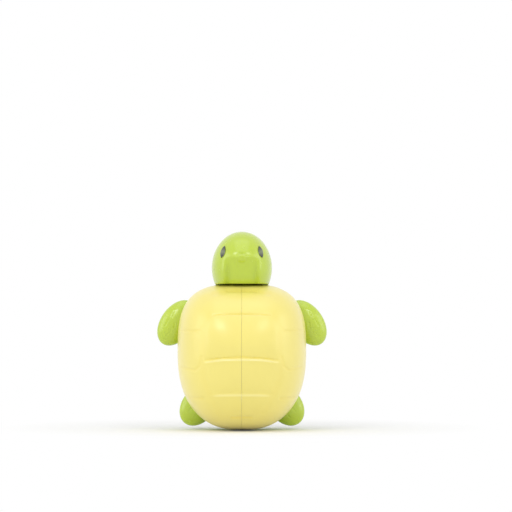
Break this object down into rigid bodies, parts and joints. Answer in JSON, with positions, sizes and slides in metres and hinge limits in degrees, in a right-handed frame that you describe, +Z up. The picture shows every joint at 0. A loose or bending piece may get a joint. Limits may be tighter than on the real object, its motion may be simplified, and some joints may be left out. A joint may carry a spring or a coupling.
{
  "type": "toothbrush cover",
  "caption": "Turtle shaped toothbrush head cover: a domed shell that opens as a pair of side-hinged doors on a green body, held to a wall by a suction cup.",
  "frame": {"origin": "centre of the suction cup's rim, in the plane of the wall", "axes": "+Y into the wall, so the front faces -Y; +Z up towards the head; +X to the right seen from the front"},
  "size_m": [0.0584, 0.0476, 0.0677],
  "materials": {
    "green_plastic": "gloss",
    "yellow_plastic": "satin",
    "white_plastic": "satin",
    "eye_plastic": "gloss",
    "steel": "bright",
    "soft_pvc": "clear and soft"
  },
  "bodies": {
    "base": {"body": "green_plastic", "head": "green_plastic", "left_eye": "eye_plastic", "right_eye": "eye_plastic", "back_cover": "green_plastic", "cover_screws": "steel", "inner_tray": "white_plastic", "hinge_pins": "steel", "suction_cup": "soft_pvc"},
    "left_wing": {"left_door": "yellow_plastic", "left_lever": "white_plastic", "left_lever_screws": "steel"},
    "right_wing": {"right_door": "yellow_plastic", "right_lever": "white_plastic", "right_lever_screws": "steel"},
    "slider": {"cradle": "white_plastic"}
  },
  "joints": [
    {"name": "right_hinge", "type": "hinge", "parent": "base", "child": "right_wing", "pos_m": [0.016, -0.0206, 0.0025], "axis": [0, 0, 1], "range_deg": [0, 36]},
    {"name": "left_hinge", "type": "hinge", "parent": "base", "child": "left_wing", "pos_m": [-0.016, -0.0206, 0.0025], "axis": [0, 0, -1], "range_deg": [0, 36]},
    {"name": "cradle_slide", "type": "slide", "parent": "base", "child": "slider", "axis": [0, -1, 0], "range_m": [0, 0.00427]}
  ],
  "couplings": [
    {"joint": "left_hinge", "follows": "right_hinge", "ratio": 1},
    {"joint": "cradle_slide", "follows": "right_hinge", "m_per_rad": 0.0068}
  ]
}
